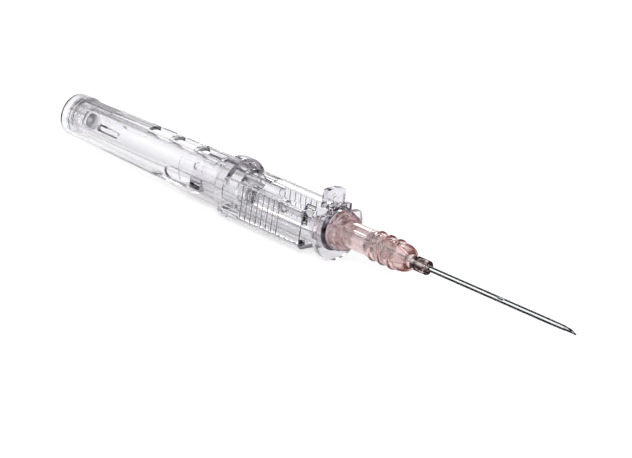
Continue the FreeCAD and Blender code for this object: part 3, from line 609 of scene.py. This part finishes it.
# %% Hub
hub_length = 22.35
mouth_rings = [
    (0.0, 3.9, 0.15), (0.85, 3.9, 0.15),
    (0.85, 3.2, 0.12), (1.55, 3.2, 0.12),
    (1.55, 3.55, 0.15), (2.05, 3.55, 0.15),
    (2.05, 2.5, 0.35),
]
belly = [(8.0, 2.5, 0.3), (8.3, 2.65, 0.3)]
for crest in (9.55, 11.97, 14.39):
    belly += [
        (crest - 0.45, 2.65, 0.12), (crest - 0.2, 2.95, 0.18),
        (crest + 0.2, 2.95, 0.18), (crest + 0.45, 2.65, 0.12),
    ]
dome = quarter((16.0, 2.65), (18.2, 1.36))
nose = [(hub_length, 1.36, 0.2), (hub_length, 0.57, 0.08)]
tube_seat = [(21.75, 0.57, 0.0), (21.75, 0.73, 0.0), (19.0, 0.73, 0.1)]
cavity = list(reversed(quarter((15.7, 1.7), (18.55, 1.12))))
septum_groove = [(12.41, 1.7, 0.05), (12.41, 2.07, 0.05), (11.21, 2.07, 0.05), (11.21, 1.8, 0.05)]
socket = [(8.3, 1.8, 0.05), (8.3, 1.886, 0.05), (0.0, 2.135, 0.12)]
outline = rounded(mouth_rings + belly + dome + nose + tube_seat + cavity + septum_groove + socket)
hub_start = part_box("catheter_hub")[0][0]
hub = lathe("hub_moulded", outline, hub_start)
hub.data.materials.append(hub_pink)
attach(hub, "catheter")
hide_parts("catheter_hub")
print("hub:", len(outline), "places in", lathe_steps, "steps round")

# %% [markdown]
# ## Studio
#
# The photograph is taken on plain white. The floor is a pale matt sheet. A ray from the camera, from a reflection
# or through a clear wall sees it a little lighter than it is, so that it reads as white paper and still carries
# the object's soft shadow.

# %% Floor
floor_half = 3.0
floor_gap = 0.05 * MM
floor_mesh = bpy.data.meshes.new("floor")
grid = bmesh.new()
bmesh.ops.create_grid(grid, x_segments=12, y_segments=12, size=floor_half)
grid.to_mesh(floor_mesh)
grid.free()
floor = bpy.data.objects.new("floor", floor_mesh)
floor.location.z = -floor_gap
bpy.context.collection.objects.link(floor)

paper = new_material("paper_matt_white")
tree = paper.node_tree
where = add_node(tree, "ShaderNodeTexCoord")
fibre = add_node(
    tree, "ShaderNodeTexNoise", values={"Scale": 1 / (25 * MM)}, links={"Vector": where.outputs["Object"]},
)
tone = add_node(tree, "ShaderNodeMix", {"data_type": "RGBA"}, links={"Factor": fibre.outputs["Fac"]})
tone.inputs["A"].default_value = linear("#D9D9DA")
tone.inputs["B"].default_value = linear("#DEDEDE")
sheet = add_node(
    tree, "ShaderNodeBsdfPrincipled",
    values={"Roughness": 0.9, "Specular IOR Level": 0.0},
    links={"Base Color": tone.outputs["Result"]},
)
rays = add_node(tree, "ShaderNodeLightPath")
seen = add_node(tree, "ShaderNodeMath", {"operation": "MAXIMUM"})
tree.links.new(rays.outputs["Is Camera Ray"], seen.inputs[0])
tree.links.new(rays.outputs["Is Glossy Ray"], seen.inputs[1])
seen_all = add_node(tree, "ShaderNodeMath", {"operation": "MAXIMUM"})
tree.links.new(seen.outputs[0], seen_all.inputs[0])
tree.links.new(rays.outputs["Is Transmission Ray"], seen_all.inputs[1])
lift = add_node(tree, "ShaderNodeEmission", values={"Strength": 0.6})
dark = add_node(tree, "ShaderNodeEmission", values={"Strength": 0.0})
lifted = add_node(tree, "ShaderNodeMixShader", links={"Fac": seen_all.outputs[0]})
tree.links.new(dark.outputs[0], lifted.inputs[1])
tree.links.new(lift.outputs[0], lifted.inputs[2])
both = add_node(tree, "ShaderNodeAddShader")
tree.links.new(sheet.outputs[0], both.inputs[0])
tree.links.new(lifted.outputs[0], both.inputs[1])
add_node(tree, "ShaderNodeOutputMaterial", links={"Surface": both.outputs[0]})
floor_mesh.materials.append(paper)
print("floor ready")

# %% [markdown]
# Clear plastic shows what is round it, so the studio matters more than the lamps. It is white low down and a
# medium grey overhead, as a white sweep under a dim ceiling is. Upright walls therefore read white, and tops and
# bends pick up grey. The camera itself sees plain white.

# %% Light from all round
world = bpy.data.worlds.new("studio")
bpy.context.scene.world = world
world.use_nodes = True
tree = world.node_tree
tree.nodes.clear()
direction = add_node(tree, "ShaderNodeTexCoord")
parts = add_node(tree, "ShaderNodeSeparateXYZ", links={"Vector": direction.outputs["Generated"]})
height = add_node(tree, "ShaderNodeValToRGB", links={"Fac": parts.outputs["Z"]})
height.color_ramp.elements[0].position = 0.30
height.color_ramp.elements[0].color = linear("#FFFFFF")
height.color_ramp.elements[1].position = 0.75
height.color_ramp.elements[1].color = linear("#9A98A0")
rays = add_node(tree, "ShaderNodeLightPath")
dome = add_node(
    tree, "ShaderNodeBackground", values={"Strength": 1.0}, links={"Color": height.outputs["Color"]},
)
plain = add_node(tree, "ShaderNodeBackground", values={"Color": (1, 1, 1, 1), "Strength": 1.0})
mixed = add_node(tree, "ShaderNodeMixShader", links={"Fac": rays.outputs["Is Camera Ray"]})
tree.links.new(dome.outputs[0], mixed.inputs[1])
tree.links.new(plain.outputs[0], mixed.inputs[2])
add_node(tree, "ShaderNodeOutputWorld", links={"Surface": mixed.outputs[0]})
print("studio lit")

# %% [markdown]
# Two large soft lamps, one in front and one behind, give the plastic its long highlights and the floor its shadow.
# They are weak, because the studio gives most of the light.

# %% Lamps
def soft_lamp(name, place_m, size_m, watts):
    data = bpy.data.lights.new(name, "AREA")
    data.shape = "RECTANGLE"
    data.size, data.size_y = size_m
    data.energy = watts
    lamp = bpy.data.objects.new(name, data)
    lamp.location = place_m
    lamp.rotation_euler = (Vector((0, 0, 0)) - Vector(place_m)).to_track_quat("-Z", "Y").to_euler()
    bpy.context.collection.objects.link(lamp)


soft_lamp("key", (0.35, -0.75, 0.75), (0.9, 0.25), 5.0)
soft_lamp("rim", (-0.3, 0.8, 0.5), (0.9, 0.3), 3.0)
print("lamps ready")

# %% [markdown]
# Clear parts and polished steel on a white sheet lose their outlines, so a photographer lays dark cards beside
# them, just outside the picture. Here two dark grey cards lie along the object, and only reflections see them.
# They give each clear part a fine dark line where its surface turns away.

# %% Grey cards
card_near = 9 * MM
card_far = 160 * MM
card_reach = 140 * MM
card_height = 0.5 * MM
card_fibre = 10 / 3 * MM


def card_material(name, dark, light):
    material = new_material(name)
    tree = material.node_tree
    where = add_node(tree, "ShaderNodeTexCoord")
    fibre = add_node(
        tree, "ShaderNodeTexNoise", values={"Scale": 1 / card_fibre}, links={"Vector": where.outputs["Object"]},
    )
    tone = add_node(tree, "ShaderNodeMix", {"data_type": "RGBA"}, links={"Factor": fibre.outputs["Fac"]})
    tone.inputs["A"].default_value = linear(dark)
    tone.inputs["B"].default_value = linear(light)
    matt = add_node(
        tree, "ShaderNodeBsdfPrincipled", values={"Roughness": 0.9}, links={"Base Color": tone.outputs["Result"]},
    )
    add_node(tree, "ShaderNodeOutputMaterial", links={"Surface": matt.outputs[0]})
    return material


card_paint = card_material("card_matt_grey", "#3E3C42", "#48464C")
for side, name in ((-1, "card_near_side"), (1, "card_far_side")):
    shape = bmesh.new()
    corners = [
        shape.verts.new((x, side * y, card_height))
        for x, y in (
            (-card_reach, card_near), (card_reach, card_near), (card_reach, card_far), (-card_reach, card_far),
        )
    ]
    shape.faces.new(corners)
    mesh = bpy.data.meshes.new(name)
    shape.to_mesh(mesh)
    shape.free()
    mesh.materials.append(card_paint)
    card = bpy.data.objects.new(name, mesh)
    bpy.context.collection.objects.link(card)
    card.visible_camera = False
    card.visible_diffuse = False
    card.visible_transmission = False
    card.visible_shadow = False
print("cards laid")

# %% [markdown]
# The free needle gets black flags of its own, because it shines through the clear catheter, and rays that have
# passed a clear wall don't see the two cards above. A curved flag hangs over it and a flat one lies under its near
# side. They draw its two dark lines. A curved white sheet between them draws the bright line along its middle.
#
# Seen from the camera, what the needle reflects lies 0.85 mm further back for each mm of distance. The sheets are
# 45 mm away, so each stands 38 mm behind the piece of needle that it serves.
#
# A flag must not show through the clear parts. Its material therefore counts the reflections that a ray has met,
# and lets the ray pass when there were none. The count works as the share of the mix, which never goes over one.

# %% Needle flags
def flag(name, rows, paint):
    """A sheet through rows of places in metres, which the camera and the shadows leave out."""
    shape = bmesh.new()
    placed = [[shape.verts.new(place) for place in row] for row in rows]
    for row, following in zip(placed, placed[1:]):
        for index in range(len(row) - 1):
            shape.faces.new((row[index], row[index + 1], following[index + 1], following[index]))
    mesh = bpy.data.meshes.new(name)
    shape.to_mesh(mesh)
    shape.free()
    mesh.materials.append(paint)
    sheet_object = bpy.data.objects.new(name, mesh)
    bpy.context.collection.objects.link(sheet_object)
    sheet_object.visible_camera = False
    sheet_object.visible_diffuse = False
    sheet_object.visible_shadow = False


def reflected_only(material):
    """Lets rays pass a sheet unless they have met a reflection on their way."""
    tree = material.node_tree
    output = next(item for item in tree.nodes if item.type == "OUTPUT_MATERIAL")
    seen = output.inputs["Surface"].links[0].from_socket
    rays = add_node(tree, "ShaderNodeLightPath")
    passed = add_node(tree, "ShaderNodeBsdfTransparent")
    either = add_node(tree, "ShaderNodeMixShader", links={"Fac": rays.outputs["Glossy Depth"]})
    tree.links.new(passed.outputs[0], either.inputs[1])
    tree.links.new(seen, either.inputs[2])
    tree.links.new(either.outputs[0], output.inputs["Surface"])


flag_paint = card_material("flag_matt_black", "#121212", "#1A1A1A")
reflected_only(flag_paint)
flag_radius = 45 * MM
flag_length = (-4, 54)
flag_angles = (68, 176)
sheet_length = (-16, 34)
sheet_angles = (2, 66)


def arched(start_angle, end_angle, rear, front, steps=12):
    """Rows of places on an arch over the axis. Angles go up from the near side, in degrees."""
    rows = []
    for step in range(steps + 1):
        angle = math.radians(start_angle + step * (end_angle - start_angle) / steps)
        rows.append([
            (x * MM, -flag_radius * math.cos(angle), axis_z + flag_radius * math.sin(angle))
            for x in (rear, front)
        ])
    return rows


flag("flag_over_needle", arched(*flag_angles, *flag_length), flag_paint)
flag("flag_under_needle", [
    [(27 * MM, 3 * MM, card_height), (68 * MM, 3 * MM, card_height)],
    [(13 * MM, -16 * MM, card_height), (56 * MM, -16 * MM, card_height)],
], flag_paint)
white_paint = new_material("sheet_lit_white")
tree = white_paint.node_tree
where = add_node(tree, "ShaderNodeTexCoord")
glow = add_node(tree, "ShaderNodeTexNoise", values={"Scale": 30.0}, links={"Vector": where.outputs["Object"]})
level = add_node(
    tree, "ShaderNodeMapRange", values={"To Min": 1.6, "To Max": 1.8}, links={"Value": glow.outputs["Fac"]},
)
lit = add_node(tree, "ShaderNodeEmission", links={"Strength": level.outputs["Result"]})
add_node(tree, "ShaderNodeOutputMaterial", links={"Surface": lit.outputs[0]})
reflected_only(white_paint)
flag("sheet_beside_needle", arched(*sheet_angles, *sheet_length), white_paint)
print("needle flags hung")

# %% [markdown]
# The picture is shown as it is worked out, with the plain transfer and no look on top. A ray may need many steps
# to get through so many clear walls, so its limits are raised. A ray that runs out would leave a black spot.

# %% Picture settings
scene = bpy.context.scene
scene.view_settings.view_transform = "Standard"
most_steps = 32
scene.cycles.max_bounces = most_steps
scene.cycles.transmission_bounces = most_steps
scene.cycles.glossy_bounces = most_steps
scene.cycles.transparent_max_bounces = most_steps
print("steps of a ray:", most_steps)
